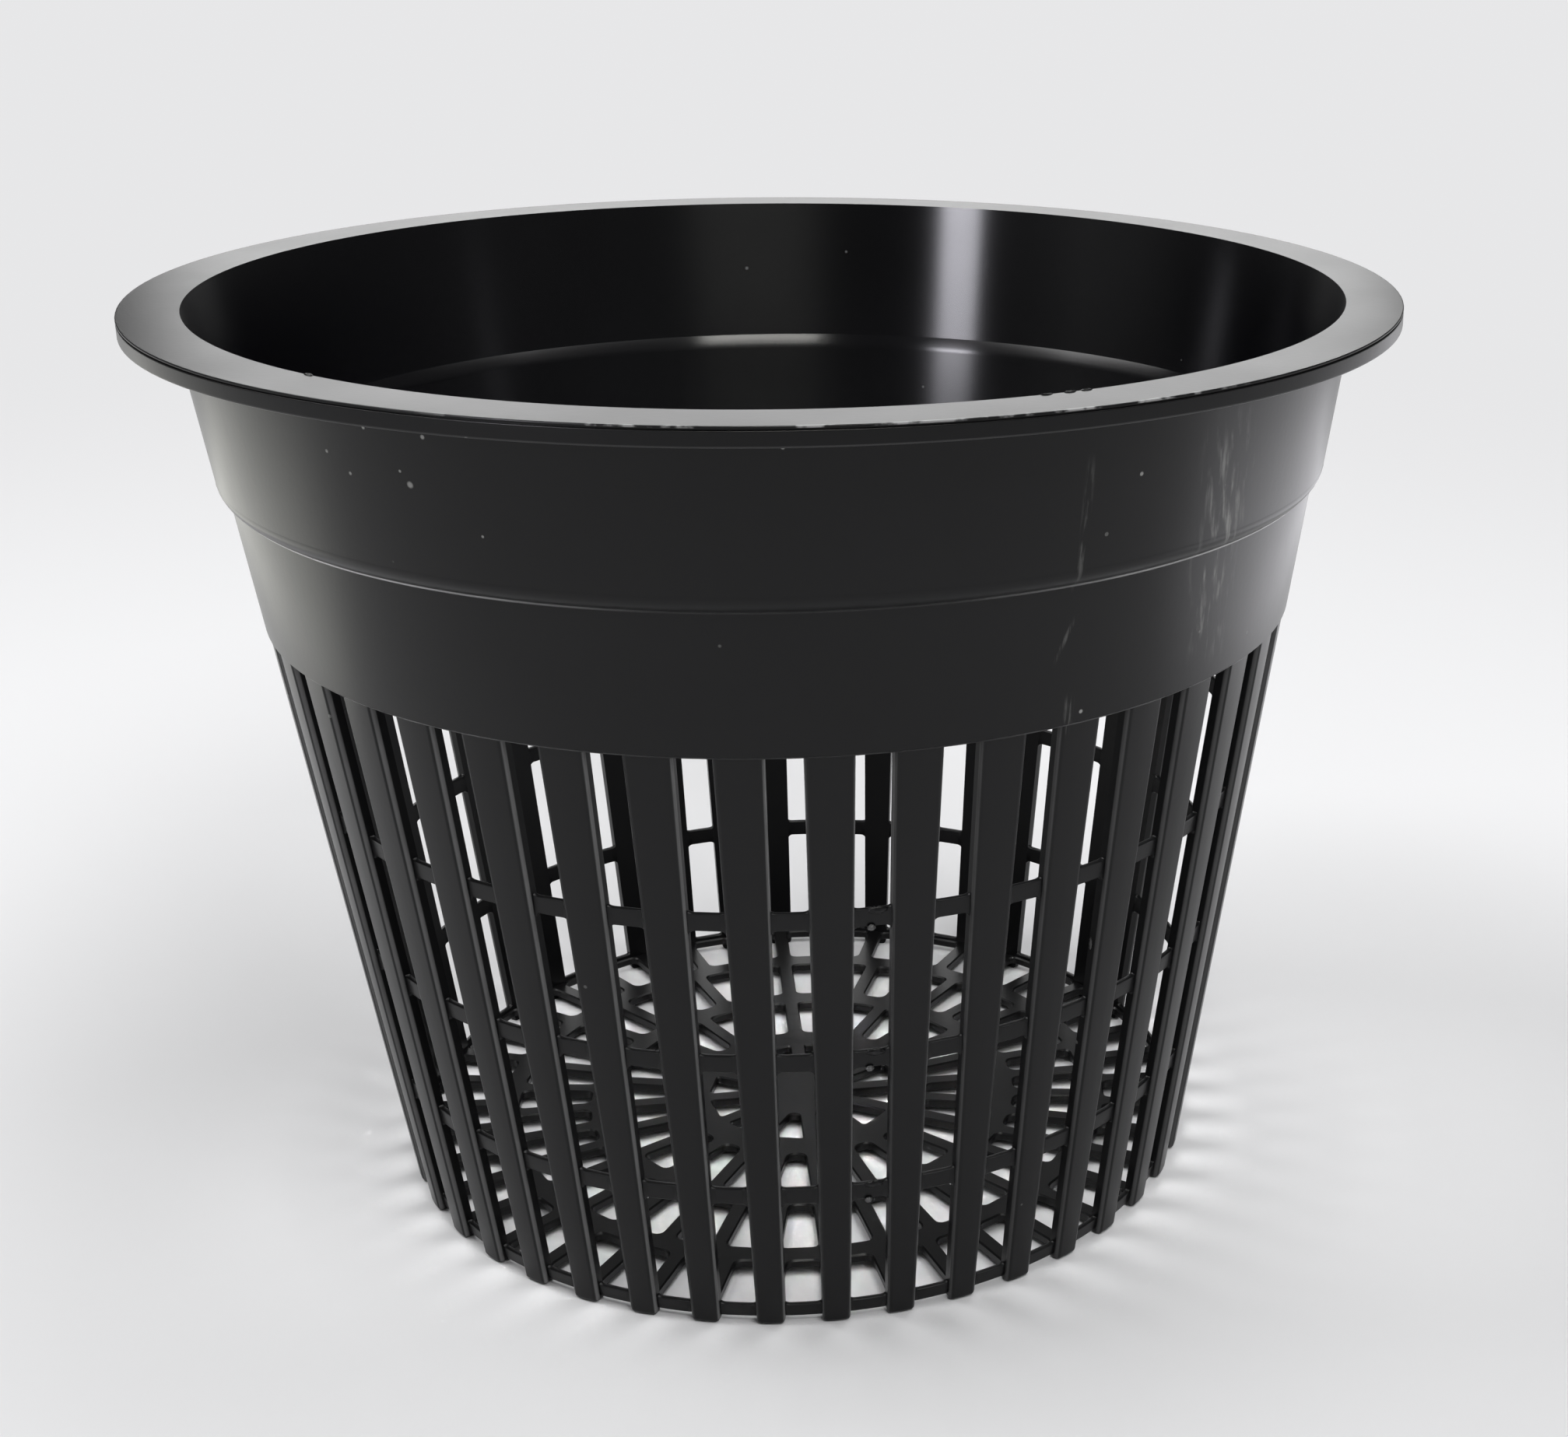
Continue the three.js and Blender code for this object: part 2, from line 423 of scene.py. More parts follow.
def caged_ring(name, bottom, top, above, below):
    """Makes a ring behind the slats, with a share of the full fillet above it and below it."""
    middle = (bottom + top) / 2
    height = top - bottom
    fillets = above + below
    fixed_height = top - height * above / fillets
    inner = slat_depth - ring_shy
    radius = wall_radius(middle, (ring_recess + inner) / 2)
    centre = (0, -radius, middle)
    bpy.ops.object.select_all(action="DESELECT")
    bpy.ops.mesh.primitive_plane_add(size=1, location=centre, rotation=(0, pi / 2, 0))
    ring = start(name)
    choose(ring, "FACE", lambda corners: True)
    bpy.ops.transform.resize(value=(1, inner - ring_recess, height), center_override=centre)
    choose(ring, "VERT", lambda corners: corners[0].z > middle)
    bpy.ops.transform.translate(value=(0, -wall_lean * height / 2, 0))
    choose(ring, "VERT", lambda corners: corners[0].z < middle)
    bpy.ops.transform.translate(value=(0, wall_lean * height / 2, 0))
    choose(ring, "VERT", lambda corners: True)
    bpy.ops.mesh.bevel(offset=ring_soft, segments=2, affect="VERTICES")
    bpy.ops.mesh.select_all(action="SELECT")
    bpy.ops.mesh.delete(type="ONLY_FACE")
    choose(ring, "EDGE", lambda corners: True)
    half_slot = slot_width(middle) / 2
    turned_to = 0.0
    tall = height
    stops = [(half_slot - gap, height + fillets * fillet_rise(gap)) for gap in fillet_gaps]
    stops.append((radius * sin(slat_pitch / 2), height + fillets * window_round))
    for sideways, new_tall in stops:
        turn = asin(sideways / radius)
        bpy.ops.mesh.extrude_edges_move()
        bpy.ops.transform.rotate(value=turned_to - turn, orient_axis="Z", center_override=(0, 0, 0))
        bpy.ops.transform.resize(value=(1, 1, new_tall / tall), center_override=(0, 0, fixed_height))
        turned_to = turn
        tall = new_tall
    only(ring)
    bpy.ops.object.modifier_add(type="MIRROR")
    ring.modifiers[-1].merge_threshold = 0.01 * MM
    bpy.ops.object.modifier_apply(modifier=ring.modifiers[-1].name)
    ring.rotation_euler.z = slat_pitch / 2
    bpy.ops.object.transform_apply(location=False, rotation=True, scale=False)
    choose(ring, "FACE", lambda corners: True)
    copies = slat_count - 1
    turns = copies * slat_pitch
    bpy.ops.mesh.spin(steps=copies, dupli=True, angle=turns, center=(0, 0, 0), axis=(0, 0, 1))
    bpy.ops.mesh.select_all(action="SELECT")
    bpy.ops.mesh.remove_doubles(threshold=0.02 * MM)
    bpy.ops.mesh.normals_make_consistent(inside=False)
    even_shading(ring)
    print(name, "has", len(ring.data.polygons), "faces")
    return ring


rings = {}
base_low, base_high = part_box("base_ring")
rings["base_ring"] = caged_ring("foot_ring", base_low.z, base_high.z, 0.5, 0)
for number in (1, 2, 3):
    low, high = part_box(f"hoop_{number}")
    rings[f"hoop_{number}"] = caged_ring(f"cage_hoop_{number}", low.z, high.z, 0.5, 1)

# %% [markdown]
# ## Floor grid
#
# The floor is a plate with four rows of cells: 12 round the hub, then 24, 36 and 42, so the last
# row matches the slots. All rows share a spoke under slat 1. The plate starts as a cylinder. A
# cutter is shaped for one cell of a row, with rounded corners and a flare at both faces that leaves
# the spokes with eased edges. Its copies are spun round the axis, and a Boolean takes them all away
# from the plate at once.

# %% Cutters for the cells
spoke_width = 2.0 * MM
cell_round = 1.0 * MM
cell_flare = 0.2 * MM
corner_limit = 0.9
floor_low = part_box("floor_hub")[0].z
floor_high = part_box("floor_hub")[1].z
floor_reach_in = 0.3 * MM
floor_radius = wall_radius(floor_low, slat_depth) + floor_reach_in


def cell_corner(radius, half_angle):
    """Where the side of a cell meets a circle, for a cell in front of the axis."""
    along = sqrt(radius**2 - (spoke_width / 2) ** 2)
    sideways = along * sin(half_angle) - spoke_width / 2 * cos(half_angle)
    forwards = along * cos(half_angle) + spoke_width / 2 * sin(half_angle)
    return sideways, forwards


def cell_cutters(name, inner, outer, cells):
    """Makes the cutters for one row of cells between two circles."""
    half_angle = pi / cells
    inner_side, inner_reach = cell_corner(inner, half_angle)
    outer_side, outer_reach = cell_corner(outer, half_angle)
    middle = (0, -(inner_reach + outer_reach) / 2, (floor_low + floor_high) / 2)
    width = 2 * outer_side
    length = outer_reach - inner_reach
    straight = floor_high - floor_low - 2 * cell_flare
    bpy.ops.object.select_all(action="DESELECT")
    bpy.ops.mesh.primitive_cube_add(size=1, location=middle, scale=(width, length, straight))
    cutters = start(name)
    choose(cutters, "VERT", lambda corners: corners[0].y > middle[1])
    bpy.ops.transform.resize(value=(inner_side / outer_side, 1, 1), center_override=(0, 0, 0))
    choose(cutters, "EDGE", lambda corners: abs(corners[0].z - corners[1].z) > tiny)
    corner_round = min(cell_round, corner_limit * inner_side)
    bpy.ops.mesh.bevel(offset=corner_round, segments=4, affect="EDGES")
    flare = ((width + 2 * cell_flare) / width, (length + 2 * cell_flare) / length, 1)
    for side in (1, -1):
        end = middle[2] + side * straight / 2
        choose(cutters, "FACE", lambda corners: all(abs(c.z - end) < tiny for c in corners))
        step = {"value": (0, 0, side * cell_flare)}
        bpy.ops.mesh.extrude_region_move(TRANSFORM_OT_translate=step)
        bpy.ops.transform.resize(value=flare, center_override=middle)
        step = {"value": (0, 0, side * MM)}
        bpy.ops.mesh.extrude_region_move(TRANSFORM_OT_translate=step)
    only(cutters)
    cutters.rotation_euler.z = half_angle
    bpy.ops.object.transform_apply(location=False, rotation=True, scale=False)
    choose(cutters, "FACE", lambda corners: True)
    turns = 2 * pi * (cells - 1) / cells
    bpy.ops.mesh.spin(steps=cells - 1, dupli=True, angle=turns, center=(0, 0, 0), axis=(0, 0, 1))
    bpy.ops.mesh.select_all(action="SELECT")
    bpy.ops.mesh.normals_make_consistent(inside=False)
    only(cutters)
    print(name, "cuts", cells, "cells")
    return cutters


# The rings between the rows, each from its inner to its outer radius
hub_radius = 6.6 * MM
inner_ring = (12.8 * MM, 16.8 * MM)
middle_ring = (26.0 * MM, 29.0 * MM)
outer_ring = (38.5 * MM, 41.4 * MM)
cage_inside = wall_radius(floor_low, slat_depth)
cell_rows = [
    cell_cutters("cells_by_hub", hub_radius, inner_ring[0], 12),
    cell_cutters("cells_inner", inner_ring[1], middle_ring[0], 24),
    cell_cutters("cells_middle", middle_ring[1], outer_ring[0], 36),
    cell_cutters("cells_outer", outer_ring[1], cage_inside, slat_count),
]

# %% Floor plate
floor_sharp_above = radians(30)
bpy.ops.object.select_all(action="DESELECT")
bpy.ops.mesh.primitive_cylinder_add(
    vertices=ring_sides,
    radius=floor_radius,
    depth=floor_high - floor_low,
    location=(0, 0, (floor_low + floor_high) / 2),
)
floor_grid = start("floor_grid")
for cutters in cell_rows:
    only(floor_grid)
    bpy.ops.object.modifier_add(type="BOOLEAN")
    cut = floor_grid.modifiers[-1]
    cut.operation = "DIFFERENCE"
    cut.solver = "EXACT"
    cut.object = cutters
    bpy.ops.object.modifier_apply(modifier=cut.name)
    bpy.data.objects.remove(cutters)
only(floor_grid)
bpy.ops.object.shade_smooth_by_angle(angle=floor_sharp_above)
print("floor grid has", len(floor_grid.data.polygons), "faces")

# %% [markdown]
# ## Flash
#
# Where the plastic met itself in the mould, or crept into its parting line, it left small rough
# bits: two on each hoop in the slot right of slat 1, four nicks on the inner edge of the rim, and a
# wisp in a slot. Each starts as a ball, is squeezed to its size, and its corners are then moved at
# random from a fixed seed, so it comes out the same every time.

# %% Flash
unevenness = 0.12


def flash_bit(name, azimuth, radius, height, size, seed):
    """Makes a rough bit on the pot. Its size in mm is along the wall, through it and upwards."""
    bpy.ops.object.select_all(action="DESELECT")
    bpy.ops.mesh.primitive_ico_sphere_add(subdivisions=3, radius=MM / 2, location=(0, -radius, height))
    bit = start(name)
    choose(bit, "VERT", lambda corners: True)
    bpy.ops.transform.resize(value=size, center_override=(0, -radius, height))
    bpy.ops.transform.vertex_random(offset=unevenness * min(size) * MM, uniform=1.0, seed=seed)
    only(bit)
    bit.rotation_euler.z = radians(azimuth)
    bpy.ops.object.transform_apply(location=False, rotation=True, scale=False)
    bpy.ops.object.shade_smooth()
    return bit


weld_slot = 4.3
burr_size = (2.3, 0.5, 0.9)
drip_size = (0.9, 0.5, 0.7)
nick_size = (1.3, 0.5, 0.25)
nick_azimuths = (18.4, 20.6, 22.2, -46.0)
wisp_size = (0.3, 0.3, 1.6)
wisp_slot = 31.3
flash_bits = []
for number in (1, 2, 3):
    low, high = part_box(f"hoop_{number}")
    level = high.z - 0.2 * MM
    face = wall_radius(level, ring_recess + 0.1 * MM)
    name = f"weld_burr_{number}"
    flash_bits.append(flash_bit(name, weld_slot + 0.5, face, level, burr_size, number))
    name = f"weld_drip_{number}"
    flash_bits.append(flash_bit(name, weld_slot - 0.2, face, low.z, drip_size, number + 10))
mouth_edge = wall_radius(rim_top) + upper_proud - band_wall + 0.1 * MM
for number, azimuth in enumerate(nick_azimuths, start=1):
    name = f"rim_nick_{number}"
    flash_bits.append(flash_bit(name, azimuth, mouth_edge, rim_top, nick_size, number + 20))
wisp_height = 46 * MM
wisp_reach = wall_radius(wisp_height, 0.6 * MM)
flash_bits.append(flash_bit("slot_wisp", wisp_slot, wisp_reach, wisp_height, wisp_size, 31))
print("rough bits:", len(flash_bits))

# %% [markdown]
# ## Shader maths
#
# The finishes need some sums on masks and noises. A socket is wrapped in a small class that knows
# plus, minus and times, so a mask can be written as an expression, and one method adds any other
# node from its type, its settings and the values of its sockets.

# %% Shader maths
class Value:
    """A socket of a material that can be used in sums."""

    def __init__(self, finish, socket):
        self.finish = finish
        self.socket = socket

    def maths(self, operation, first, second):
        return self.finish.node("ShaderNodeMath", {"operation": operation}, {0: first, 1: second})

    def __add__(self, other):
        return self.maths("ADD", self, other)

    def __radd__(self, other):
        return self.maths("ADD", other, self)

    def __sub__(self, other):
        return self.maths("SUBTRACT", self, other)

    def __rsub__(self, other):
        return self.maths("SUBTRACT", other, self)

    def __mul__(self, other):
        return self.maths("MULTIPLY", self, other)


class Finish:
    """A material that is being made."""

    def __init__(self, name):
        self.material = bpy.data.materials.new(name)
        self.material.use_nodes = True
        self.tree = self.material.node_tree
        self.tree.nodes.clear()

    def node(self, kind, settings=None, sockets=None, output=0):
        made = self.tree.nodes.new(kind)
        for key, value in (settings or {}).items():
            setattr(made, key, value)
        for key, value in (sockets or {}).items():
            if isinstance(value, Value):
                self.tree.links.new(value.socket, made.inputs[key])
            else:
                made.inputs[key].default_value = value
        return Value(self, made.outputs[output])

    def ramp(self, value, low, high):
        """0 below low, 1 above high, and smooth between them."""
        return self.node(
            "ShaderNodeMapRange",
            {"interpolation_type": "SMOOTHSTEP"},
            {"Value": value, "From Min": low, "From Max": high},
        )

    def blend(self, mask, first, second):
        """Mixes two colours by a mask."""
        first, second = (c if isinstance(c, Value) else (*c, 1) for c in (first, second))
        return self.node("ShaderNodeMix", {"data_type": "RGBA"}, {0: mask, 6: first, 7: second}, 2)

    def spot(self, place, azimuth, radius, height, size):
        """1 at a place on the wall, and 0 from a distance of its size."""
        centre = (sin(azimuth) * radius, -cos(azimuth) * radius, height)
        measured = {"operation": "DISTANCE"}
        away = self.node("ShaderNodeVectorMath", measured, {0: place, 1: centre}, "Value")
        return 1 - self.ramp(away, 0.4 * size, size)

    def noise(self, place, scale, detail):
        """A cloudy noise between 0 and 1, with as many patches to a metre as its scale."""
        sockets = {"Vector": place, "Scale": scale, "Detail": detail}
        return self.node("ShaderNodeTexNoise", {}, sockets)

    def close(self, shader):
        """Puts the shader on the surface and hands back the material."""
        surface = self.tree.nodes.new("ShaderNodeOutputMaterial")
        self.tree.links.new(shader.socket, surface.inputs["Surface"])
        return self.material


# %% [markdown]
# ## Black plastic, outside
#
# Polypropylene with carbon black in it comes out of the mould with a satin skin. It looks even from
# a distance, but close to the gloss is a little patchy, there is a very fine grain, and handling has
# left pale specks and rubbed upright scuffs on the bands. Pale lines along the crease of the
# shoulder, the foot of the lower band and the underside of the rim are partly rub wear and partly
# painted highlight, the first two brighter on the flanks where the light falls. The edges of the
# slats get painted highlights, stronger on their right sides, and the rim's outer edge in front gets
# pale chips and a painted highlight. The marks lie in the object's own coordinates, so they stay put
# when the camera moves.

# %% Patterns that both finishes share
def plastic_patterns(finish):
    """Returns the place, the patchiness and the specks."""
    place = finish.node("ShaderNodeTexCoord", {}, {}, "Object")
    patchy = finish.noise(place, 55.0, 4.0)
    cells = finish.node("ShaderNodeTexVoronoi", {}, {"Vector": place, "Scale": 120.0}, "Distance")
    specks = 1 - finish.ramp(cells, 0.02, 0.035)
    return place, patchy, specks


# %% Marks of use
worn_pale = (0.32, 0.32, 0.31)
# Pale colour of the edge lines, which are partly rub wear and partly painted highlight
wear_and_highlight_pale = (0.6, 0.6, 0.6)
line_fade = 0.1 * MM

# Specks of grit that the eye catches, each an azimuth in degrees, a height and a size in mm
grit = [
    (-44.6, 105.6, 0.25),
    (-42.2, 103.7, 0.25),
    (-35.6, 103.6, 0.45),
    (-36.4, 104.9, 0.2),
    (-33.4, 108.8, 0.3),
    (-39.5, 108.9, 0.25),
    (-29.2, 99.1, 0.2),
    (28.3, 103.5, 0.3),
    (25.2, 77.2, 0.3),
    (-3.5, 109.5, 0.25),
]

# How far the rubs lean sideways, in radians for each metre up, and the heights they lean about
wide_lean = 2.3
wide_middle = 95 * MM
short_lean = -6.5
short_middle = 86 * MM


def round_the_pot(finish, place):
    """Turns a place into its angle from the front, its distance from the axis and its height."""
    x, y, z = (finish.node("ShaderNodeSeparateXYZ", {}, {0: place}, axis) for axis in "XYZ")
    flat = x * x + y * y
    return x.maths("ARCTAN2", x, 0 - y), flat.maths("POWER", flat, 0.5), z


def between(finish, value, low, high, soft):
    """1 between two values, fading to 0 over a soft width inside each."""
    return finish.ramp(value, low, low + soft) * (1 - finish.ramp(value, high - soft, high))


def scuff_marks(finish, angle, z):
    """Pale upright rubs on the right of the bands, where pots slide in a stack."""

    def rubs(along, across, upwards, sparse):
        """Streaks from a noise that is stretched by its counts across and upwards."""
        stretched = finish.node("ShaderNodeCombineXYZ", {}, {0: along * across, 1: z * upwards})
        return finish.ramp(finish.noise(stretched, 1.0, 6.0), sparse, sparse + 0.2)

    def patch(along, first, last, side, foot, head, fade):
        """1 on a patch of the wall, with its angles in degrees and its heights in mm."""
        sideways = between(finish, along, radians(first), radians(last), radians(side))
        return sideways * between(finish, z, foot * MM, head * MM, fade * MM)

    leaned = angle + (z - wide_middle) * wide_lean
    slanted = angle + (z - short_middle) * short_lean
    blotches = rubs(leaned, 55.0, 170.0, 0.48) * (rubs(leaned, 190.0, 260.0, 0.4) * 0.7 + 0.3)
    wide = patch(leaned, 36, 45.5, 4, 77, 110, 9)
    thin = patch(angle, 22.2, 23.4, 0.5, 91, 107, 4)
    short = patch(slanted, 22.1, 22.8, 0.3, 83, 89, 2)
    low = patch(angle, 23, 24.4, 0.5, 74, 80, 2)
    return blotches * wide + rubs(angle, 130.0, 250.0, 0.45) * (thin + short + low) * 0.3


def edge_wear_and_highlights(finish, place, angle, radius, z):
    """Pale lines along the edges of the bands, the rim and the slats: rub wear and painted highlights.
    """
    uneven = finish.noise(place, 160.0, 3.0)
    # The flanks, where the light falls brightest, get the strongest painted highlights
    right_flank = finish.ramp(angle, radians(8), radians(48))
    left_flank = finish.ramp(0 - angle, radians(13), radians(50))
    lit_flanks = right_flank + left_flank

    def line(edge, below, above):
        """1 on a line round the pot, from below an edge to above it."""
        return between(finish, z, edge - below, edge + above, line_fade)

    # Pale lines at the shoulder's crease, the lower band's foot and under the rim: partly rub wear,
    # partly painted highlight; the first two are painted brighter on the flanks
    crease_wear_and_highlight = line(shoulder_bottom, 0.15 * MM, 0.25 * MM) * (lit_flanks * 0.95 + 0.05)
    band_foot_wear_and_highlight = line(slot_top, 0.05 * MM, 0.25 * MM) * (lit_flanks * 0.25 + 0.05)
    under_rim_wear_and_highlight = line(rim_bottom, 0.05 * MM, 0.25 * MM) * 0.06

    # Pale chips and a painted highlight on the rim's outer edge, in front only
    chips = finish.ramp(finish.noise(place, 420.0, 4.0), 0.5, 0.62)
    from_left = finish.ramp(angle, radians(-34), radians(-18))
    to_right = 1 - finish.ramp(angle, radians(24), radians(40))
    rim_edge = finish.ramp(radius, rim_radius - 0.45 * MM, rim_radius - 0.1 * MM)
    above_groove = finish.ramp(z, parting_top - line_fade, parting_top)
    rim_chips_and_highlight = rim_edge * above_groove * from_left * to_right * chips * 0.5

    # Painted highlights along the outer edges of the slats, brighter on their right sides
    slat = angle * (1 / slat_pitch)
    sideways = (slat - slat.maths("ROUND", slat, 0)) * slat_pitch * radius
    half_slat = slat_at_base / 2 + z * ((slat_at_top - slat_at_base) / 2 / slot_top)
    outer = finish.ramp(radius - z * wall_lean, base_radius - 0.7 * MM, base_radius - 0.5 * MM)
    below_band = 1 - finish.ramp(z, slot_top - 0.2 * MM, slot_top)
    right_edge = finish.ramp(sideways - half_slat, -0.25 * MM, -0.1 * MM)
    left_edge = finish.ramp(0 - sideways - half_slat, -0.25 * MM, -0.1 * MM)
    slat_edge_highlights = (right_edge * 0.22 + left_edge * 0.1) * outer * below_band
    return (crease_wear_and_highlight + band_foot_wear_and_highlight + under_rim_wear_and_highlight + rim_chips_and_highlight + slat_edge_highlights) * (uneven * 0.6 + 0.6)


def grit_specks(finish, place):
    """The specks of grit on the bands."""
    total = 0.0
    for azimuth, height, size in grit:
        proud = upper_proud if height * MM > shoulder_top else lower_proud
        radius = wall_radius(height * MM) + proud
        total = total + finish.spot(place, radians(azimuth), radius, height * MM, size * MM)
    return total


# %% Satin outside
satin_deep = (0.003, 0.003, 0.0033)
satin_light = (0.0055, 0.0055, 0.006)
satin = Finish("black_satin")
place, patchy, specks = plastic_patterns(satin)
angle, radius, z = round_the_pot(satin, place)
grain = satin.noise(place, 1400.0, 2.0)
pale_spots = specks * 0.3 + grit_specks(satin, place)
scuffs = scuff_marks(satin, angle, z)
worn = satin.node("ShaderNodeClamp", {}, {"Value": pale_spots + scuffs * 0.75})
# Pale edge lines, partly rub wear and partly painted highlights
wear_and_highlight_lines = edge_wear_and_highlights(satin, place, angle, radius, z)
black = satin.blend(patchy, satin_deep, satin_light)
black_with_lines = satin.blend(wear_and_highlight_lines, black, wear_and_highlight_pale)
rough_skin = {"Strength": 0.25, "Distance": 0.02 * MM, "Height": grain + pale_spots * 4.0}
skin = satin.node("ShaderNodeBump", {}, rough_skin)
satin_black = satin.close(
    satin.node(
        "ShaderNodeBsdfPrincipled",
        {},
        {
            "Base Color": satin.blend(worn, black_with_lines, worn_pale),
            "Roughness": 0.27 + patchy * 0.07 + worn * 0.3,
            "IOR": 1.3,
            "Normal": skin,
        },
    )
)

# %% [markdown]
# ## Black plastic, inside
#
# The core of the mould was turned and polished, so the inside of the wall is glossier than the
# outside. Its faint turning marks run round the pot and spread a reflection up and down: a lamp
# shows as one tall bright streak on the far wall. The Principled shader has this as anisotropy,
# with the highlight turned a quarter so that it stretches upright.

# %% Polished inside
polished_deep = (0.0015, 0.0015, 0.002)
polished_light = (0.003, 0.003, 0.004)
polished_speck = (0.3, 0.3, 0.3)
polished = Finish("black_polished")
place, patchy, specks = plastic_patterns(polished)
dark = polished.blend(patchy, polished_deep, polished_light)
polished_black = polished.close(
    polished.node(
        "ShaderNodeBsdfPrincipled",
        {},
        {
            "Base Color": polished.blend(specks * 0.5, dark, polished_speck),
            "Roughness": 0.2 + patchy * 0.04,
            "IOR": 1.42,
            "Anisotropic": 0.95,
            "Anisotropic Rotation": 0.25,
        },
    )
)
print("finishes:", satin_black.name, "and", polished_black.name)

# %% [markdown]
# ## Dressing the pieces
#
# Each piece takes the place of its node in the frame and rides on the pot's only body. Faces of the
# rim and the bands that look towards the axis get the polished finish, and all others the satin one.

# %% Dress the pieces
inward_facing = -0.6


def dress(piece, *nodes, polished_inside=False):
    """Gives a piece its finish and its place in the frame."""
    piece.data.materials.clear()
    piece.data.materials.append(satin_black)
    if polished_inside:
        piece.data.materials.append(polished_black)
        for face in piece.data.polygons:
            outwards = Vector((face.center.x, face.center.y, 0)).normalized()
            if face.normal.dot(outwards) < inward_facing:
                face.material_index = 1
    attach(piece, "root")
    if nodes:
        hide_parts(*nodes)


dress(rim, "rim_flange", polished_inside=True)
dress(upper_band, "upper_band", polished_inside=True)
dress(shoulder, "shoulder", polished_inside=True)
dress(lower_band, "lower_band", polished_inside=True)
for name, ring in rings.items():
    dress(ring, name)
for number, slat in enumerate(slats, start=1):
    dress(slat, f"slat_{number:02d}")
for bit in flash_bits:
    dress(bit)
dress(floor_grid, "floor_hub", "floor_ring_inner", "floor_ring_middle", "floor_ring_outer")

# %% [markdown]
# ## Setting
#
# The pot stands on a plain pale floor. Near the pot the floor is an ordinary matt surface that takes
# its shadow. Far from it the lamps no longer reach, so for the camera and for reflections the floor
# changes softly to an even pale tone, which serves as the backdrop.

# %% Floor
pale = (0.80, 0.80, 0.81)
ground_radius = 8
matt_within = 0.14
even_beyond = 0.6
bpy.ops.object.select_all(action="DESELECT")
bpy.ops.mesh.primitive_circle_add(
    vertices=96, radius=ground_radius, fill_type="NGON", location=(0, 0, 0)
)
ground = start("ground")
cloth = Finish("pale_floor")
place = cloth.node("ShaderNodeTexCoord", {}, {}, "Object")
distance = cloth.node("ShaderNodeVectorMath", {"operation": "LENGTH"}, {0: place}, "Value")
far = cloth.ramp(distance, matt_within, even_beyond)
seen = cloth.node("ShaderNodeLightPath", {}, {}, "Is Camera Ray")
mirrored = cloth.node("ShaderNodeLightPath", {}, {}, "Is Glossy Ray")
matt = cloth.node("ShaderNodeBsdfDiffuse", {}, {"Color": (*pale, 1)})
glow = cloth.node("ShaderNodeEmission", {}, {"Color": (*pale, 1), "Strength": 1.0})
shows = cloth.node("ShaderNodeMath", {"operation": "MAXIMUM"}, {0: seen, 1: mirrored})
ground.data.materials.append(
    cloth.close(cloth.node("ShaderNodeMixShader", {}, {0: shows * far, 1: matt, 2: glow}))
)

# %% [markdown]
# ## Light
#
# Glossy black shows what it mirrors, so each lamp has a job of its own. A wide one low behind the
# pot lies where the top of the rim looks. One high on the right and one in front light the floor,
# and one on the left throws the shadow to the right. The one in front isn't seen in reflections.
# Two are seen in reflections only: one in front that puts a glint on the ledge inside, and one on
# the left that makes the streak on the inner wall. A narrow beam straight down the mouth keeps the
# floor white behind the grid. The flanks mirror the floor beside the pot, so glowing cards lie
# there, warm on the left and cool on the right. The camera sees none of the lamps and cards.

# %% Lamps
pot_middle = Vector((0, 0, 60 * MM))
card_height = 2 * MM
warm = (1.0, 1.0, 0.9)
cool = (0.96, 0.95, 1.0)


def lamp(name, place, away, width, height, brightness, colour):
    """Hangs a flat lamp that shines against a direction, seen by everything but the camera."""
    bpy.ops.object.light_add(type="AREA", location=place)
    made = bpy.context.object
    made.name = name
    made.data.shape = "RECTANGLE"
    made.data.size = width
    made.data.size_y = height
    made.data.energy = brightness * pi * width * height
    made.data.color = colour
    made.rotation_euler = (-away).to_track_quat("-Z", "Y").to_euler()
    made.visible_camera = False
    return made


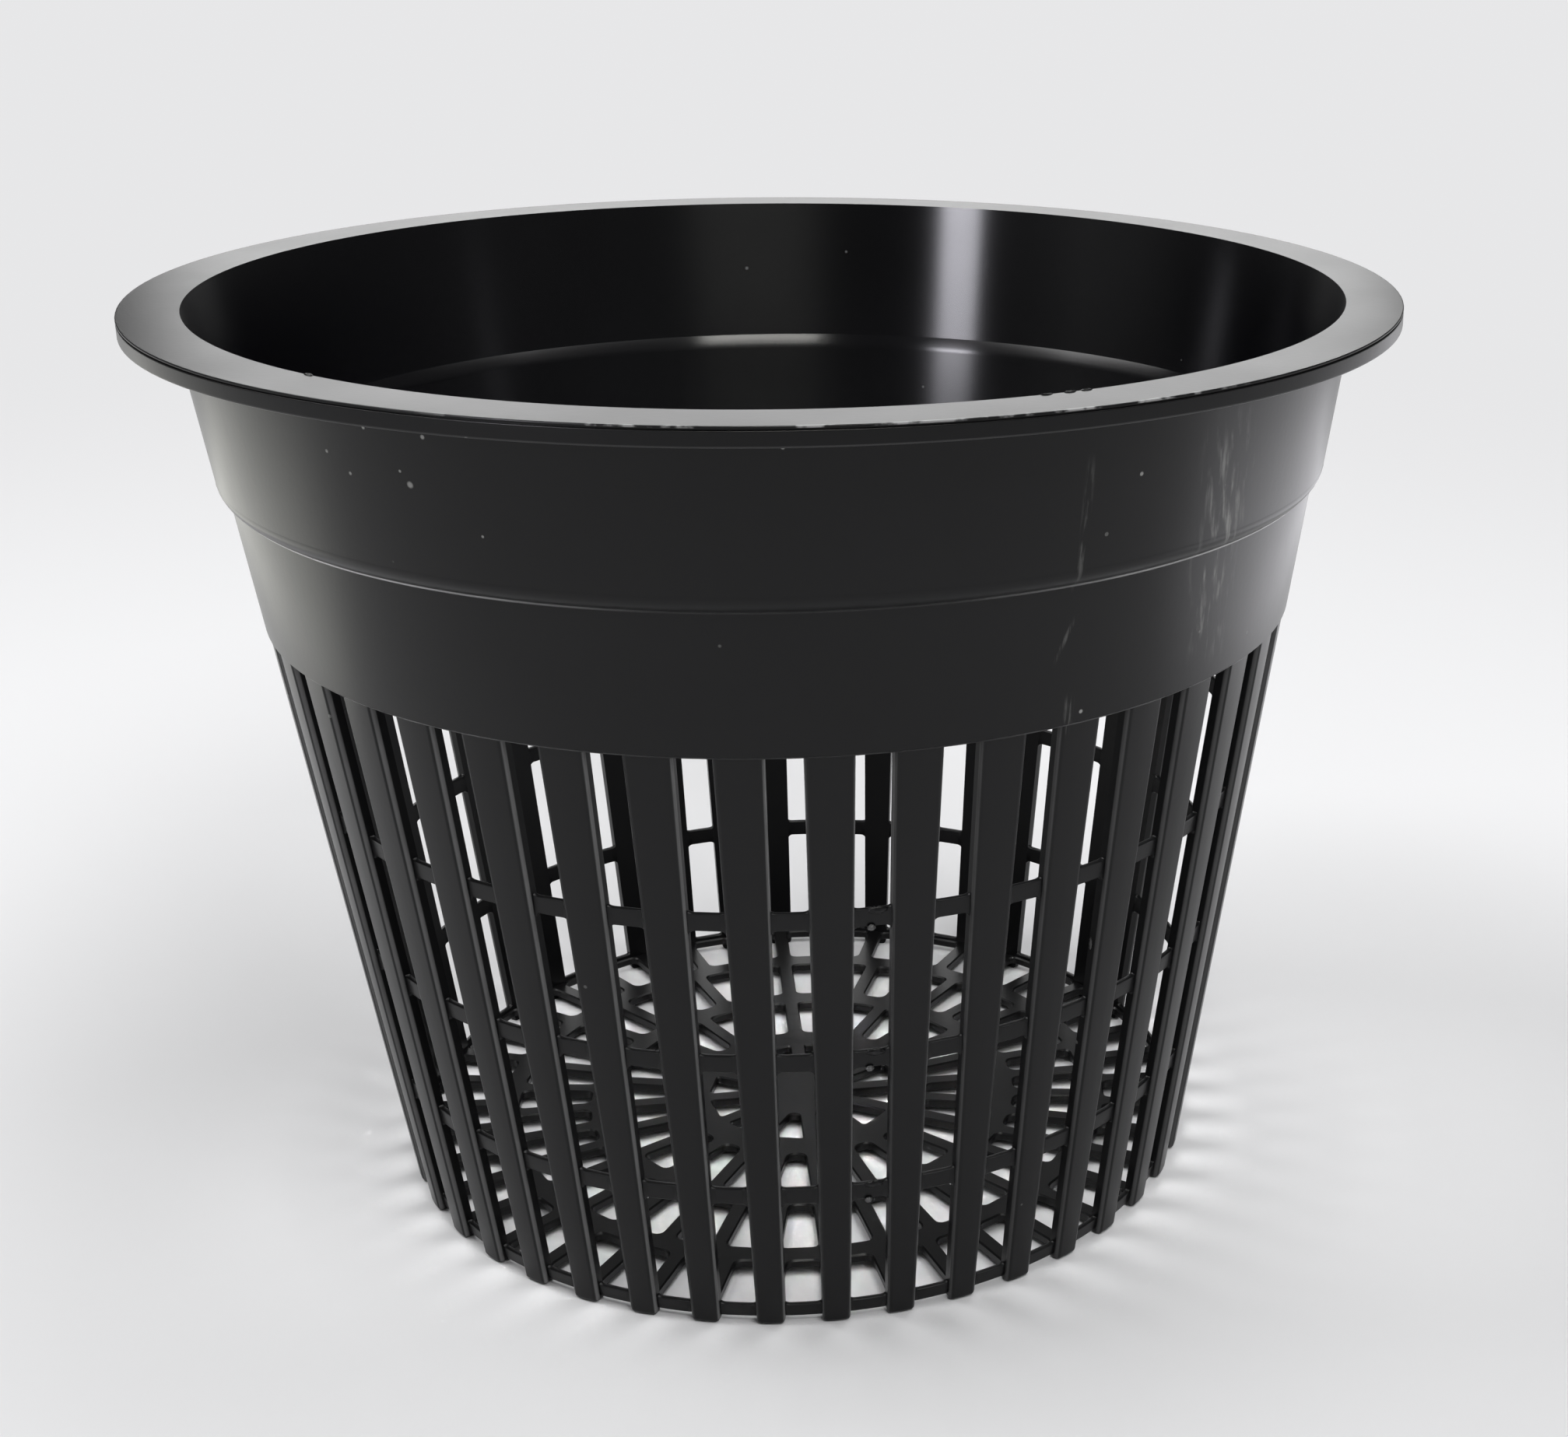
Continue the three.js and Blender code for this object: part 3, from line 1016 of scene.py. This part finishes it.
def soft_lamp(name, azimuth, elevation, distance, width, height, brightness, colour=(1, 1, 1)):
    """Hangs a lamp round the pot, aimed at it. Azimuth counts from the front towards +X."""
    turn, rise = radians(azimuth), radians(elevation)
    away = Vector((sin(turn) * cos(rise), -cos(turn) * cos(rise), sin(rise)))
    place = pot_middle + away * distance
    return lamp(name, place, away, width, height, brightness, colour)


def floor_card(name, x, y, width, length, brightness, colour):
    """Lays a glowing card on the floor, face up, for the flank of the pot to mirror."""
    lamp(name, Vector((x, y, card_height)), Vector((0, 0, -1)), width, length, brightness, colour)


soft_lamp("lamp_behind", 176, 16, 1.1, 0.72, 0.2, 3.8)
soft_lamp("lamp_top", 100, 68, 1.2, 0.75, 0.75, 3.7)
front = soft_lamp("lamp_front", 25, 50, 1.1, 0.5, 0.5, 6.2)
front.visible_glossy = False
soft_lamp("lamp_key", -105, 53, 1.1, 0.6, 0.6, 6.2)
glint = soft_lamp("lamp_glint", 3, 54, 1.1, 0.42, 0.16, 31, (1.0, 1.0, 0.95))
streak = soft_lamp("lamp_streak", -47.4, 20, 1.0, 0.155, 0.3, 38, (0.93, 0.92, 1.0))
for reflected in (glint, streak):
    reflected.visible_diffuse = False
beam = soft_lamp("lamp_beam", 0, 90, 1.1, 0.06, 0.06, 0.9)
beam.data.spread = radians(4)
floor_card("card_left", -0.24, 0.16, 0.13, 0.27, 1.3, warm)
floor_card("card_right", 0.25, 0.11, 0.13, 0.32, 1.4, cool)
floor_card("card_far_left", -0.42, 0.3, 0.12, 0.36, 1.2, warm)
floor_card("card_far_right", 0.44, 0.26, 0.12, 0.4, 1.3, cool)

# %% [markdown]
# The room round the lamps is dim, which keeps the black deep. A camera that looks over the edge of
# the floor sees it as pale as the backdrop.

# %% World
dim_strength = 0.12
backdrop_strength = 0.8
world = bpy.data.worlds.new("dim_room")
bpy.context.scene.world = world
world.use_nodes = True
room = world.node_tree
background = room.nodes["Background"]
background.inputs["Color"].default_value = (1, 1, 1, 1)
ray = room.nodes.new("ShaderNodeLightPath")
strength = room.nodes.new("ShaderNodeMapRange")
strength.inputs["To Min"].default_value = dim_strength
strength.inputs["To Max"].default_value = backdrop_strength
room.links.new(ray.outputs["Is Camera Ray"], strength.inputs["Value"])
room.links.new(strength.outputs["Result"], background.inputs["Strength"])
bpy.context.scene.view_settings.view_transform = "Standard"
